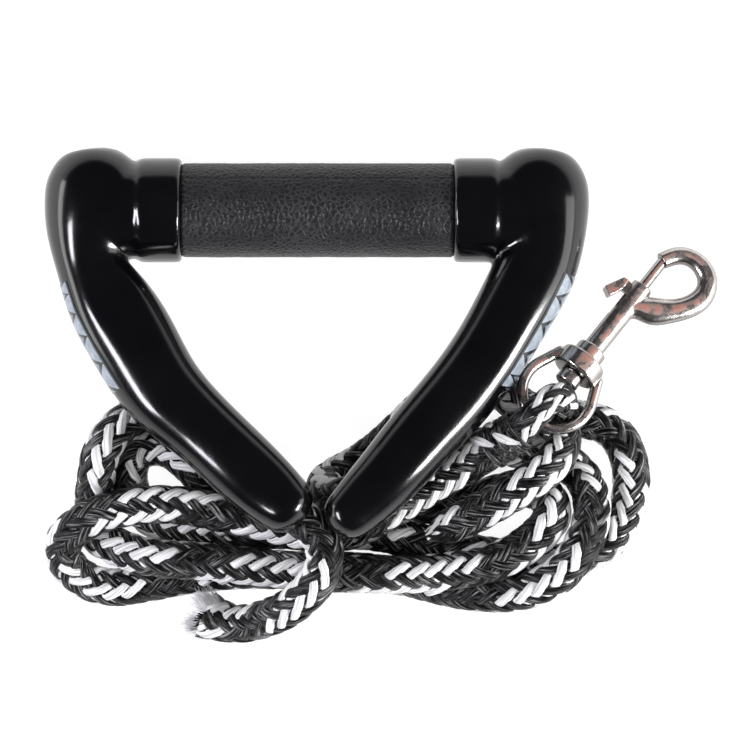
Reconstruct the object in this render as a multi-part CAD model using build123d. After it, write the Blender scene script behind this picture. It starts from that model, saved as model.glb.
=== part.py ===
from build123d import *
import math
import os

# A water sports tow handle lying on a flat surface, with its rope in a loose pile
# and a swivel snap on the rope's eye.
# Millimetres. X runs along the grip, Y from the pile towards the grip, Z up, and the surface is z = 0.
# The origin is under the middle of the handle's own outline, without the rope and the snap.

os.makedirs("parts", exist_ok=True)

# The handle: the grip lies on the surface and the two legs rise to rest on the rope.
GRIP_AXIS_Y = 46.9
COLLAR_R = 18.2
GRIP_AXIS_Z = COLLAR_R
TILT_DEG = 12.0
GRIP_HALF = 47.6
GRIP_R = 16.5
COLLAR_OUTER_X = 62.5
ELBOW_R = 16.8
KNOB_SQUARENESS = 0.68
KNOB_OVAL_ANGLES = (80, 62, 42, 20, 0)
TIP_CIRCLE_ANGLES = (28, 52, 72)
CHANNEL_R = 7.2

# The tube in the grip and the bushes in its ends.
TUBE_R = 9.5
TUBE_BORE_R = 8.2
TUBE_HALF = 60.0
FERRULE_BORE_R = 6.9
FERRULE_LENGTH = 16.0

# The printed labels on the outer sides of the legs.
LABEL_THICKNESS = 0.4
LABEL_HEIGHT = 10.0
LABEL_BOTTOM_Y = -58.0
LEFT_LABEL_TOP_Y = -21.0
RIGHT_LABEL_TOP_Y = -17.0
BEYOND_X = 120.0

# The rope.
ROPE_D = 13.0
EYE_D = 10.0
ON_SURFACE = 6.6

# The swivel snap, in its own frame: X along its axis from the ring to the hook, Y away from the hook, Z up.
SNAP_ORIGIN = (89.5, -10.4, 21.0)
SNAP_HEADING_DEG = 50.7
SNAP_SLOPE_DEG = 16.7
RING_WIRE_R = 1.9
RING_R = 12.6
RING_CENTRE_X = -9.4
RING_NECK_Y = 8.4
DRUM_LENGTH = 6.8
DRUM_R = 8.3
DRUM_EDGE = 0.5
STUD_R = 3.0
STUD_CLEARANCE = 0.05
STUD_HEAD_R = 4.3
STUD_HEAD_LENGTH = 4.6
AXIAL_GAP = 0.15
JOIN_DEPTH = 0.1
TURNED_EDGE = 0.4
COLLAR_END_X = 11.6
SNAP_COLLAR_R = 5.4
BARREL_R = 3.8
BARREL_END_X = 41.1
BOLT_R = 1.95
BOLT_CLEARANCE = 0.06
BOLT_BORE_START_X = 13.0
BOLT_START_X = 24.5
BOLT_END_X = 53.5
BOLT_TRAVEL = 9.0
BOLT_SEAT_DEPTH = 0.6
LEVER_X = 37.4
LEVER_PEG_R = 1.1
LEVER_PEG_START_Y = -1.0
LEVER_STEM_LENGTH = 4.2
LEVER_STEM_START_Y = 2.4
LEVER_PAD_WIDTH = 4.6
LEVER_PAD_ROUNDING = 0.5
SLOT_HALF_WIDTH = 1.25
SLOT_END_GAP = 0.6
SPRING_WIRE_R = 0.3
SPRING_R = 1.45
SPRING_TURNS = 7
SPRING_END_GAP = 0.05
WHIPPING_R = 8.2


# ---------- the handle's own plane ----------

handle_place = Location((0, GRIP_AXIS_Y, GRIP_AXIS_Z), (-TILT_DEG, 0, 0))


def lay(shape):
    """Puts a shape of the handle's own plane, drawn about the grip's axis, where the handle lies."""
    return handle_place * shape


def arm_section(x, y, heading, width, thickness):
    """An oval across a leg whose centreline heads along heading, degrees from +X."""
    plane = Plane(
        origin=(x, y, 0),
        x_dir=(-math.sin(math.radians(heading)), math.cos(math.radians(heading)), 0),
        z_dir=(math.cos(math.radians(heading)), math.sin(math.radians(heading)), 0),
    )
    return plane * Ellipse(width / 2, thickness / 2)


def leg(stations, grow=0.0):
    """The tapering leg of an arm through ovals at (x, y, width, thickness)."""
    sections = []
    for i, (x, y, width, thickness) in enumerate(stations):
        before = stations[max(i - 1, 0)]
        after = stations[min(i + 1, len(stations) - 1)]
        heading = math.degrees(math.atan2(after[1] - before[1], after[0] - before[0]))
        sections.append(arm_section(x, y, heading, width + 2 * grow, thickness + 2 * grow))
    return loft(sections)


def along_x(radius, start, end):
    """A round bar along X between two places on the grip's axis."""
    low, high = min(start, end), max(start, end)
    return Location(((low + high) / 2, 0, 0), (0, 90, 0)) * Cylinder(radius, high - low)


# ---------- paths ----------

def corner_radii(points, share=0.45):
    """The radius of each corner, as large as its two runs allow."""
    radii = []
    for a, b, c in zip(points, points[1:], points[2:]):
        first = Vector(*b) - Vector(*a)
        second = Vector(*c) - Vector(*b)
        turn = math.radians(first.get_angle(second))
        radii.append(share * min(first.length, second.length) / math.tan(turn / 2))
    return radii


def rounded_path(points, share=0.45):
    return FilletPolyline(*points, radius=corner_radii(points, share))


def tube_along(points, diameter, share=0.45):
    """A round tube along straight runs joined by tangent arcs."""
    path = rounded_path(points, share)
    start = Plane(origin=path @ 0, z_dir=path % 0)
    return sweep(start * Circle(diameter / 2), path=path), path


# ---------- routes, in the frame of the whole object ----------

# Where the rope runs inside the handle, in the handle's own plane.
LEFT_CHANNEL = [
    (-56.0, 0.0, 0.0),
    (-72.0, 0.0, 0.0),
    (-79.3, -8.0, 0.0),
    (-78.0, -24.0, 0.0),
    (-67.5, -43.5, 0.0),
    (-55.0, -64.5, 0.0),
    (-39.8, -80.0, 0.0),
]
RIGHT_CHANNEL = [
    (56.0, 0.0, 0.0),
    (72.0, 0.0, 0.0),
    (79.0, -8.0, 0.0),
    (75.5, -23.0, 0.0),
    (65.5, -42.5, 0.0),
    (52.5, -63.0, 0.0),
    (39.5, -78.5, 0.0),
]

# The free rope, from inside the right leg, out under its tip, through the pile and up to the ring.
TOW_ROPE = [
    (27, -42.5, 37.2),
    (15.5, -51.5, 38.0),
    (7.5, -53.5, 30),
    (2.2, -52.6, 21),
    (2.5, -48, 9.5),
    (16.5, -41.5, ON_SURFACE),
    (31.5, -28, ON_SURFACE),
    (42.5, -16.5, ON_SURFACE),
    (52, -9.5, ON_SURFACE),
    (61.5, -12.5, ON_SURFACE),
    (68, -20, ON_SURFACE),
    (79, -25.5, ON_SURFACE),
    (92, -26, ON_SURFACE),
    (104, -29, ON_SURFACE),
    (110.5, -40, ON_SURFACE),
    (111, -54, ON_SURFACE),
    (106, -67, ON_SURFACE),
    (95, -75.5, ON_SURFACE),
    (80, -78, ON_SURFACE),
    (62, -75, ON_SURFACE),
    (42, -71.5, ON_SURFACE),
    (20, -66, ON_SURFACE),
    (0, -65.5, ON_SURFACE),
    (-22, -66, ON_SURFACE),
    (-42, -66.5, ON_SURFACE),
    (-56, -63.8, ON_SURFACE),
    (-64.3, -57, ON_SURFACE),
    (-67.7, -47, ON_SURFACE),
    (-65, -37.6, ON_SURFACE),
    (-54.5, -35.6, ON_SURFACE),
    (-45.5, -42, ON_SURFACE),
    (-37.5, -51.8, ON_SURFACE),
    (-28, -50.8, ON_SURFACE),
    (-24.5, -41.8, ON_SURFACE),
    (-28.5, -33, ON_SURFACE),
    (-37, -26.3, ON_SURFACE),
    (-45.5, -21.5, 7.6),
    (-58, -22.5, 10),
    (-69, -27.3, 16),
    (-76, -36.5, 20),
    (-77.8, -46.5, 16.4),
    (-80, -58, ON_SURFACE),
    (-79.5, -67, ON_SURFACE),
    (-70.5, -72, 10.5),
    (-58, -75.5, 18.5),
    (-41, -76, 19.8),
    (-18, -78.5, 20.3),
    (6, -80.6, 20.1),
    (28, -81, 20.0),
    (46, -80, 19.0),
    (62, -77, 20),
    (74.5, -70, 20.3),
    (83.2, -60.8, 19),
    (81.6, -53.3, 11),
    (72, -50, ON_SURFACE),
    (57.5, -54.5, ON_SURFACE),
    (44, -58.3, ON_SURFACE),
    (33, -55.9, ON_SURFACE),
    (30.6, -47, ON_SURFACE),
    (37.6, -40.7, ON_SURFACE),
    (46, -37.2, ON_SURFACE),
    (57, -35.8, ON_SURFACE),
    (70, -36.9, ON_SURFACE),
    (83.8, -39.3, ON_SURFACE),
    (94.6, -46.8, 9.2),
    (97.2, -59, 16.8),
    (92.5, -72, 20.5),
    (83.5, -83, 20.5),
    (67.5, -88.8, 14.5),
    (48, -87, ON_SURFACE),
    (28, -81.5, ON_SURFACE),
    (6, -79.5, ON_SURFACE),
    (-16, -80, ON_SURFACE),
    (-38, -80.3, ON_SURFACE),
    (-58, -84, ON_SURFACE),
    (-75, -87, ON_SURFACE),
    (-87, -81, 8),
    (-91.5, -71, 14),
    (-83, -62.3, 22),
    (-70, -57.2, 22.4),
    (-50, -55.6, 20.5),
    (-27, -60.8, 20),
    (-6, -66.3, 20),
    (10, -67, 20),
    (27, -57.5, 20.5),
    (42, -48.5, 21),
    (54.5, -41, 25),
    (64, -34.2, 30),
    (70.5, -29.5, 33.6),
]

# The stretch through the ring: over the ring's wire, back under it.
ROPE_EYE = [
    (70.5, -29.5, 33.6),
    (75.8, -24.2, 37.0),
    (81.0, -19.0, 35.2),
    (85.1, -18.3, 29.6),
    (86.4, -22.2, 21.3),
    (87.0, -27.2, 17.8),
    (86.8, -34, 18.6),
]

# From the ring back along the first leg to the splice.
RETURN_LEG = [
    (86.8, -34, 18.6),
    (83.5, -41, 22.3),
    (75.5, -47.5, 25.2),
    (63, -55.3, 22.5),
    (50, -62.5, 20.5),
    (38, -67.3, 20.2),
]

# The cut end, from inside the left leg, over the pile and down to the surface.
ROPE_TAIL = [
    (-22.0, -48.5, 37.8),
    (-13, -55, 35.6),
    (-4.5, -61.2, 33.6),
    (3, -69.2, 33.6),
    (2.5, -80, 34.0),
    (-8, -91.5, 30.0),
    (-20, -97.5, 13),
    (-31.5, -99.5, 7.0),
    (-40, -95.5, ON_SURFACE),
]


# ---------- the handle ----------

LEFT_KNOB = (-78.0, 4.4, 17.8, 17.1)
RIGHT_KNOB = (77.6, 4.4, 17.6, 17.1)
LEFT_STATIONS = [
    (-79.7, -10.0, 30.0, 29.4),
    (-79.2, -19.5, 24.6, 24.4),
    (-75.0, -28.9, 27.6, 25.3),
    (-67.4, -41.7, 30.8, 26.0),
    (-62.1, -50.9, 30.6, 25.5),
    (-53.7, -64.2, 29.0, 24.5),
    (-39.2, -78.6, 25.6, 22.0),
    (-25.6, -91.5, 24.9, 21.0),
    (-12.2, -103.7, 21.6, 18.6),
]
RIGHT_STATIONS = [
    (78.7, -9.0, 30.4, 29.6),
    (77.6, -17.0, 28.2, 26.2),
    (70.9, -31.5, 27.8, 25.8),
    (60.8, -49.4, 26.6, 24.4),
    (49.2, -65.7, 26.0, 23.5),
    (35.3, -81.8, 24.6, 22.5),
    (23.2, -96.0, 22.6, 21.0),
    (11.9, -107.4, 18.8, 17.6),
]


def knob_stations(knob):
    """Ovals that close an arm squarely beyond the grip's axis."""
    x, y, half_width, half_thickness = knob
    ovals = []
    for angle in KNOB_OVAL_ANGLES:
        share = math.cos(math.radians(angle)) ** KNOB_SQUARENESS
        reach = half_thickness * math.sin(math.radians(angle))
        ovals.append((x, y + reach, 2 * half_width * share, 2 * half_thickness * share))
    return ovals


def tip_stations(stations):
    """Circles that round off the lower end of a leg."""
    x, y, width, _ = stations[-1]
    before = stations[-2]
    run = math.hypot(x - before[0], y - before[1])
    circles = []
    for angle in TIP_CIRCLE_ANGLES:
        reach = width / 2 * math.sin(math.radians(angle)) / run
        size = width * math.cos(math.radians(angle))
        circles.append((x + (x - before[0]) * reach, y + (y - before[1]) * reach, size, size))
    return circles


def arm_outside(side, stations, knob):
    """An arm before it is bored: collar, elbow, knob, leg and rounded tip."""
    x = knob[0]
    root = along_x(COLLAR_R, side * GRIP_HALF, side * COLLAR_OUTER_X)
    root += along_x(ELBOW_R, side * COLLAR_OUTER_X, x)
    return root + leg(knob_stations(knob) + stations + tip_stations(stations))


def in_place(point):
    """A point of the handle's own plane, where the handle lies."""
    return tuple(lay(Vertex(*point)).center())


def bored(side, outside, channel, mouth):
    """The arm with the tube's socket and the rope's channel, which comes out under the tip."""
    arm = outside - along_x(TUBE_R, side * (GRIP_HALF - 1), side * TUBE_HALF)
    path_points = [in_place(p) for p in channel] + mouth
    return lay(arm) - tube_along(path_points, 2 * CHANNEL_R)[0]


def left_arm():
    return bored(-1, arm_outside(-1, LEFT_STATIONS, LEFT_KNOB), LEFT_CHANNEL, ROPE_TAIL[:5])


def right_arm():
    return bored(1, arm_outside(1, RIGHT_STATIONS, RIGHT_KNOB), RIGHT_CHANNEL, TOW_ROPE[:5])


def bridle_points():
    """From the left leg's tip, through the bar, to the right leg's tip."""
    left = [in_place(p) for p in LEFT_CHANNEL[1:]]
    right = [in_place(p) for p in RIGHT_CHANNEL[1:]]
    return [ROPE_TAIL[0], *reversed(left), *right, TOW_ROPE[0]]


def side_label(side, stations, knob, top, bottom):
    """A thin printed film on the upper outer flank of a leg, between two places along Y."""
    whole = knob_stations(knob) + stations + tip_stations(stations)
    skin = leg(whole, LABEL_THICKNESS) - leg(whole)
    inner = [(x, y) for x, y, _, _ in stations[5:0:-1]]
    outline = Polygon((side * BEYOND_X, top), (side * BEYOND_X, bottom), *inner, align=None)
    window = extrude(outline, LABEL_HEIGHT)
    strip = Pos(side * BEYOND_X / 2, (top + bottom) / 2, 0) * Box(BEYOND_X, top - bottom, 4 * LABEL_HEIGHT)
    return lay(skin & window & strip)


def grip_sleeve():
    sleeve = along_x(GRIP_R, -GRIP_HALF, GRIP_HALF) - along_x(TUBE_R, -GRIP_HALF, GRIP_HALF)
    return lay(sleeve)


def bar_tube():
    tube = along_x(TUBE_R, -TUBE_HALF, TUBE_HALF) - along_x(TUBE_BORE_R, -TUBE_HALF, TUBE_HALF)
    return lay(tube)


def bar_ferrule(side):
    """A bush in the tube's end that the rope runs through."""
    inner = side * (TUBE_HALF - FERRULE_LENGTH)
    bush = along_x(TUBE_BORE_R, inner, side * TUBE_HALF)
    bush -= along_x(FERRULE_BORE_R, inner, side * TUBE_HALF)
    return lay(bush)


# ---------- the rope's binding ----------

def throat_whipping():
    """Yarn wound round the first leg, over the corner before the ring."""
    before, corner, after = (Vector(*p) for p in TOW_ROPE[-3:])
    start = (before + corner) * 0.5
    end = (corner + after) * 0.5
    radius = corner_radii(TOW_ROPE[-3:])[0]
    path = FilletPolyline(start, corner, end, radius=radius)
    plane = Plane(origin=path @ 0, z_dir=path % 0)
    return sweep(plane * (Circle(WHIPPING_R) - Circle(ROPE_D / 2)), path=path)


# ---------- the swivel snap, in its own frame ----------

snap_place = Pos(*SNAP_ORIGIN) * Rot(0, 0, SNAP_HEADING_DEG) * Rot(0, SNAP_SLOPE_DEG, 0)

# The hook's curve: place, width in its plane and thickness.
HOOK_STATIONS = [
    (31.1, -1.2, 8.0, 6.4),
    (35.2, -6.0, 9.4, 6.6),
    (40.2, -12.4, 8.8, 6.6),
    (46.2, -17.0, 7.9, 6.5),
    (53.2, -18.8, 7.5, 6.4),
    (59.0, -16.1, 7.0, 6.3),
    (61.5, -10.0, 6.5, 6.1),
    (60.0, -4.4, 6.2, 6.0),
    (55.9, -0.9, 6.0, 5.9),
    (53.2, 0.5, 5.8, 5.8),
]

# The outline of the thumb pad, from the stem's far side round its raised end.
LEVER_PAD = [
    (39.4, 5.4),
    (39.0, 7.3),
    (32.0, 10.6),
    (30.2, 7.3),
    (35.3, 5.2),
]


def swivel_eye():
    """The D ring with the drum that the hook's stud turns in."""
    reach = math.hypot(DRUM_LENGTH / 2 - RING_CENTRE_X, RING_NECK_Y)
    lean = math.atan2(RING_NECK_Y, DRUM_LENGTH / 2 - RING_CENTRE_X)
    touch = lean + math.acos(RING_R / reach)
    touch_x = RING_CENTRE_X + RING_R * math.cos(touch)
    touch_y = RING_R * math.sin(touch)
    neck_x = DRUM_LENGTH / 2
    first = Line((neck_x, RING_NECK_Y), (touch_x, touch_y))
    bottom = ThreePointArc((touch_x, touch_y), (RING_CENTRE_X - RING_R, 0), (touch_x, -touch_y))
    last = Line((touch_x, -touch_y), (neck_x, -RING_NECK_Y))
    path = first + bottom + last
    ring = sweep(Plane(origin=path @ 0, z_dir=path % 0) * Circle(RING_WIRE_R), path=path)
    for side in (-1, 1):
        ring += Location((neck_x, side * RING_NECK_Y, 0)) * Sphere(RING_WIRE_R)
    drum = chamfer(along_x(DRUM_R, 0, DRUM_LENGTH).edges(), DRUM_EDGE)
    return (ring + drum) - along_x(STUD_R + STUD_CLEARANCE, -RING_R, DRUM_LENGTH + 1)


def hook():
    sections = []
    for i, (x, y, width, thickness) in enumerate(HOOK_STATIONS):
        before = HOOK_STATIONS[max(i - 1, 0)]
        after = HOOK_STATIONS[min(i + 1, len(HOOK_STATIONS) - 1)]
        heading = math.degrees(math.atan2(after[1] - before[1], after[0] - before[0]))
        sections.append(arm_section(x, y, heading, width, thickness))
    return loft(sections)


def snap_body():
    """Stud, collar, barrel and hook in one casting, bored for the bolt and slotted for its lever."""
    body = along_x(STUD_R, -AXIAL_GAP - JOIN_DEPTH, DRUM_LENGTH + AXIAL_GAP + JOIN_DEPTH)
    head = along_x(STUD_HEAD_R, -AXIAL_GAP - STUD_HEAD_LENGTH, -AXIAL_GAP)
    body += chamfer(head.edges(), TURNED_EDGE)
    collar = along_x(SNAP_COLLAR_R, DRUM_LENGTH + AXIAL_GAP, COLLAR_END_X)
    body += chamfer(collar.edges(), TURNED_EDGE)
    body += along_x(BARREL_R, COLLAR_END_X - TURNED_EDGE - JOIN_DEPTH, BARREL_END_X)
    body += hook()
    body -= along_x(BOLT_R + BOLT_CLEARANCE, BOLT_BORE_START_X, BOLT_END_X + BOLT_SEAT_DEPTH)
    slot_length = BOLT_TRAVEL + LEVER_STEM_LENGTH + 2 * SLOT_END_GAP
    slot_start = LEVER_X - BOLT_TRAVEL - LEVER_STEM_LENGTH / 2 - SLOT_END_GAP
    slot = Box(slot_length, BARREL_R + 1, 2 * SLOT_HALF_WIDTH, align=(Align.MIN, Align.MIN, Align.CENTER))
    return body - Pos(slot_start, 0, 0) * slot


def across_y(radius, x, start, end):
    return Location((x, (start + end) / 2, 0), (90, 0, 0)) * Cylinder(radius, abs(end - start))


def bolt_plunger():
    bolt = along_x(BOLT_R, BOLT_START_X, BOLT_END_X)
    bolt = chamfer(bolt.edges().sort_by(Axis.X)[-1], TURNED_EDGE)
    return bolt - across_y(LEVER_PEG_R, LEVER_X, LEVER_PEG_START_Y, BOLT_R + 1)


def thumb_lever():
    """A peg pressed into the bolt, a flat stem in the slot and a pad bent back towards the ring."""
    peg = across_y(LEVER_PEG_R, LEVER_X, LEVER_PEG_START_Y, LEVER_STEM_START_Y + JOIN_DEPTH)
    stem_height = LEVER_PAD[0][1] + JOIN_DEPTH - LEVER_STEM_START_Y
    stem_place = Pos(LEVER_X, LEVER_STEM_START_Y + stem_height / 2, 0)
    stem = stem_place * Box(LEVER_STEM_LENGTH, stem_height, 2 * LEVER_PEG_R)
    pad = extrude(Polygon(*LEVER_PAD, align=None), LEVER_PAD_WIDTH / 2, both=True)
    return peg + stem + fillet(pad.edges().filter_by(Axis.Z), LEVER_PAD_ROUNDING)


def bolt_spring():
    """A light compression spring between the bore's end and the bolt."""
    start = BOLT_BORE_START_X + SPRING_WIRE_R
    length = BOLT_START_X - BOLT_BORE_START_X - 2 * SPRING_WIRE_R - SPRING_END_GAP
    coil = Helix(pitch=length / SPRING_TURNS, height=length, radius=SPRING_R)
    wire = sweep(Plane(origin=coil @ 0, z_dir=coil % 0) * Circle(SPRING_WIRE_R), path=coil, is_frenet=True)
    return Location((start, 0, 0), (0, 90, 0)) * wire


# ---------- all the pieces ----------

def cord_report(name, path, solid, points, diameter):
    swept = math.pi * diameter**2 / 4 * path.length
    radii = ", ".join(f"{r:.1f}" for r in corner_radii(points))
    print(f"{name}: length {path.length:.1f} mm, volume over section x length {solid.volume / swept:.4f}")
    print(f"  corner radii {radii}")


def cord(name, points, diameter):
    solid, path = tube_along(points, diameter)
    cord_report(name, path, solid, points, diameter)
    return solid


pieces = {
    "grip_sleeve": grip_sleeve(),
    "bar_tube": bar_tube(),
    "left_bar_ferrule": bar_ferrule(-1),
    "right_bar_ferrule": bar_ferrule(1),
    "left_arm": left_arm(),
    "right_arm": right_arm(),
    "left_side_label": side_label(-1, LEFT_STATIONS, LEFT_KNOB, LEFT_LABEL_TOP_Y, LABEL_BOTTOM_Y),
    "right_side_label": side_label(1, RIGHT_STATIONS, RIGHT_KNOB, RIGHT_LABEL_TOP_Y, LABEL_BOTTOM_Y),
    "bridle_rope": cord("bridle_rope", bridle_points(), ROPE_D),
    "tow_rope": cord("tow_rope", TOW_ROPE, ROPE_D),
    "rope_eye": cord("rope_eye", ROPE_EYE, EYE_D),
    "rope_return_leg": cord("rope_return_leg", RETURN_LEG, ROPE_D),
    "rope_tail": cord("rope_tail", ROPE_TAIL, ROPE_D),
    "throat_whipping": throat_whipping(),
    "swivel_eye": snap_place * swivel_eye(),
    "snap_body": snap_place * snap_body(),
    "bolt_plunger": snap_place * bolt_plunger(),
    "thumb_lever": snap_place * thumb_lever(),
    "bolt_spring": snap_place * bolt_spring(),
}

for name, shape in pieces.items():
    export_step(shape, f"parts/{name}.step")

handle = Compound([pieces["left_arm"], pieces["right_arm"], pieces["grip_sleeve"]])
box = handle.bounding_box()
print("handle box", box.min, box.max, "middle", box.center())
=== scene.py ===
"""A water sports tow handle lying on its piled rope, with a swivel bolt snap in the rope's eye."""

import math
import random

import bpy
import numpy as np
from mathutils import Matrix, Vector, noise
from mathutils.bvhtree import BVHTree


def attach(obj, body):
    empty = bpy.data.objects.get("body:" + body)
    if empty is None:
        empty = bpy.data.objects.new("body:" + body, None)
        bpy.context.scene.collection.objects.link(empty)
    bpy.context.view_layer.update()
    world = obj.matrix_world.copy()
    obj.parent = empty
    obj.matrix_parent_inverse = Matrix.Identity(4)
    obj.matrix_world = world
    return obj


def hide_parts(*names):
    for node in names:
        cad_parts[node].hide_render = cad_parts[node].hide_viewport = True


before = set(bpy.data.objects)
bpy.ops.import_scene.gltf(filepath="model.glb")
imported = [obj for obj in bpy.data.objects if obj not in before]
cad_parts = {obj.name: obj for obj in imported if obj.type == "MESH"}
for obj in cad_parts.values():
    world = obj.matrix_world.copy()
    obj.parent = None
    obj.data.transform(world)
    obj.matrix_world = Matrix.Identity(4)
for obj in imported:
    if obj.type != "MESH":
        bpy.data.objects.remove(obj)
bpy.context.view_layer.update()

MM = 0.001
TAU = 2 * math.pi

# The view: straight down, on the middle of the handle and its rope.
VIEW_CENTRE = (0.0201, -0.0109)
VIEW_WIDTH = 0.2625
VIEW_HEIGHT_LEVEL = 0.022
LENS_MM = 200
SENSOR_MM = 36

# The place that every light faces.
LIT_SPOT = (0.0, -0.02, 0.02)

# Where the studio's bright walls end and its dark ceiling starts, as the height of a direction.
WALL_TOP = 0.10
CEILING_START = 0.24

# The rope: sixteen strands in a hollow braid, eight each way.
ROPE_MIDDLE_R = 0.0061
WEAVE_DEPTH = 0.00042
WHITE_HALF_WIDTH = 0.00175
BLACK_HALF_WIDTH = 0.0019
STRAND_LAY = 0.054
WHITE_STRANDS = (0, 1, 2, 3, 4)
# The radius of the dark tube inside the braid, painted shade for its hollow.
CORE_R = 0.0051
FLOOR_GAP = 0.0002

# The yarns' colours: painted shade between filament bundles, their colour on the bundles, and painted
# highlights where they catch the light.
BLACK_YARN_DARK = (0.0012, 0.0012, 0.0014)
BLACK_YARN_LIGHT = (0.0050, 0.0050, 0.0055)
BLACK_YARN_GLINT = (0.34, 0.34, 0.34)
WHITE_YARN_DARK = (0.60, 0.60, 0.61)
WHITE_YARN_LIGHT = (0.90, 0.90, 0.90)
WHITE_YARN_GLINT = (0.95, 0.95, 0.95)

# A strand's ribbon: places across it from edge to edge, and how high it is crowned at each.
RIBBON_ACROSS = (-1.0, -0.62, 0.0, 0.62, 1.0)
RIBBON_CROWN = (-0.00065, 0.00022, 0.00034, 0.00022, -0.00065)

# How much thinner the rope is pulled in the ring, how gently, and how long its buried end's taper is.
EYE_THINNING = 0.23
EYE_EASE = 0.0025
BURIED_TAPER = 0.010

# Loose fibres: how far out they start, on the rope and on its throat, and their usual lengths.
FUZZ_R = 0.0068
FUZZ_LENGTH = 0.0032
THROAT_FUZZ_R = 0.0076
THROAT_FUZZ_LENGTH = 0.0042

# The binding at the throat: how far before the ring it starts and ends, its turns and its yarn.
THROAT_START = 0.014
THROAT_END = 0.0005
THROAT_TURNS = 13
THROAT_R = 0.0072
YARN_R = 0.00062

# White strands astray over the binding: where each starts and ends along the rope, measured
# from the ring, and the angles around the rope between which it crosses.
STRAY_R = 0.0079
STRAY_HALF_WIDTH = 0.00135
THROAT_STRAYS = [
    (-0.0165, -0.0090, 2.1, 1.0),
    (-0.0120, -0.0065, 2.9, 1.9),
    (-0.0070, -0.0010, 1.5, 0.4),
]

# The cut end: how long a stretch opens, by how much, and its clumps of loose fibres.
FLARE_LENGTH = 0.013
FLARE = 0.28
TUFT_CLUMPS = 22
CLUMP_FIBRES = 80
CLUMPS_PER_DARK = 8
FIBRE_HALF_WIDTH = 0.00022

# The handle's own plane.
GRIP_AXIS_Y = 0.0469
GRIP_AXIS_Z = 0.0182
TILT = math.radians(12)
GRIP_HALF = 0.0476
GRIP_R = 0.0165

# The grip's lengthwise seam and its rolled ends.
SEAM_ANGLE = math.radians(62)
SEAM_DEPTH = 0.00022
SEAM_WIDTH = 0.00035
ROLL_LENGTH = 0.0012
ROLL_DEPTH = 0.0007

# The labels: how far up and down the arm's flank each reaches, and how proud of the arm it lies.
LABEL_BOTTOM_DEG = -14
LABEL_TOP_DEG = {"left": 38, "right": 43}
LABEL_LIFT = 0.00022
ZIGZAGS = 5.0
CLEAR_OF_ARM = 0.05
ARM_R = 0.013

# The finger hollow in the left leg: its middle, the way it runs and its size.
HOLLOW = (-0.0700, 0.0175)
HOLLOW_HEADING = (0.42, -0.91)
HOLLOW_REACH = 0.011
HOLLOW_HALF_WIDTH = 0.0062
HOLLOW_DEPTH = 0.0026

# How finely the arms are remeshed, how often they are smoothed, and what that shrinks them by.
ARM_VOXEL = 0.0008
ARM_SMOOTHINGS = 30
ARM_REGROWTH = 0.00018

# The way the snap's flat side faces, as the snap lies tilted on the rope.
SNAP_UP = (0.182, 0.2224, 0.9578)


# ---------- the cords' routes, in millimetres ----------

# The height of the rope's middle where it lies on the table.
ON_SURFACE = 6.6

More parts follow.
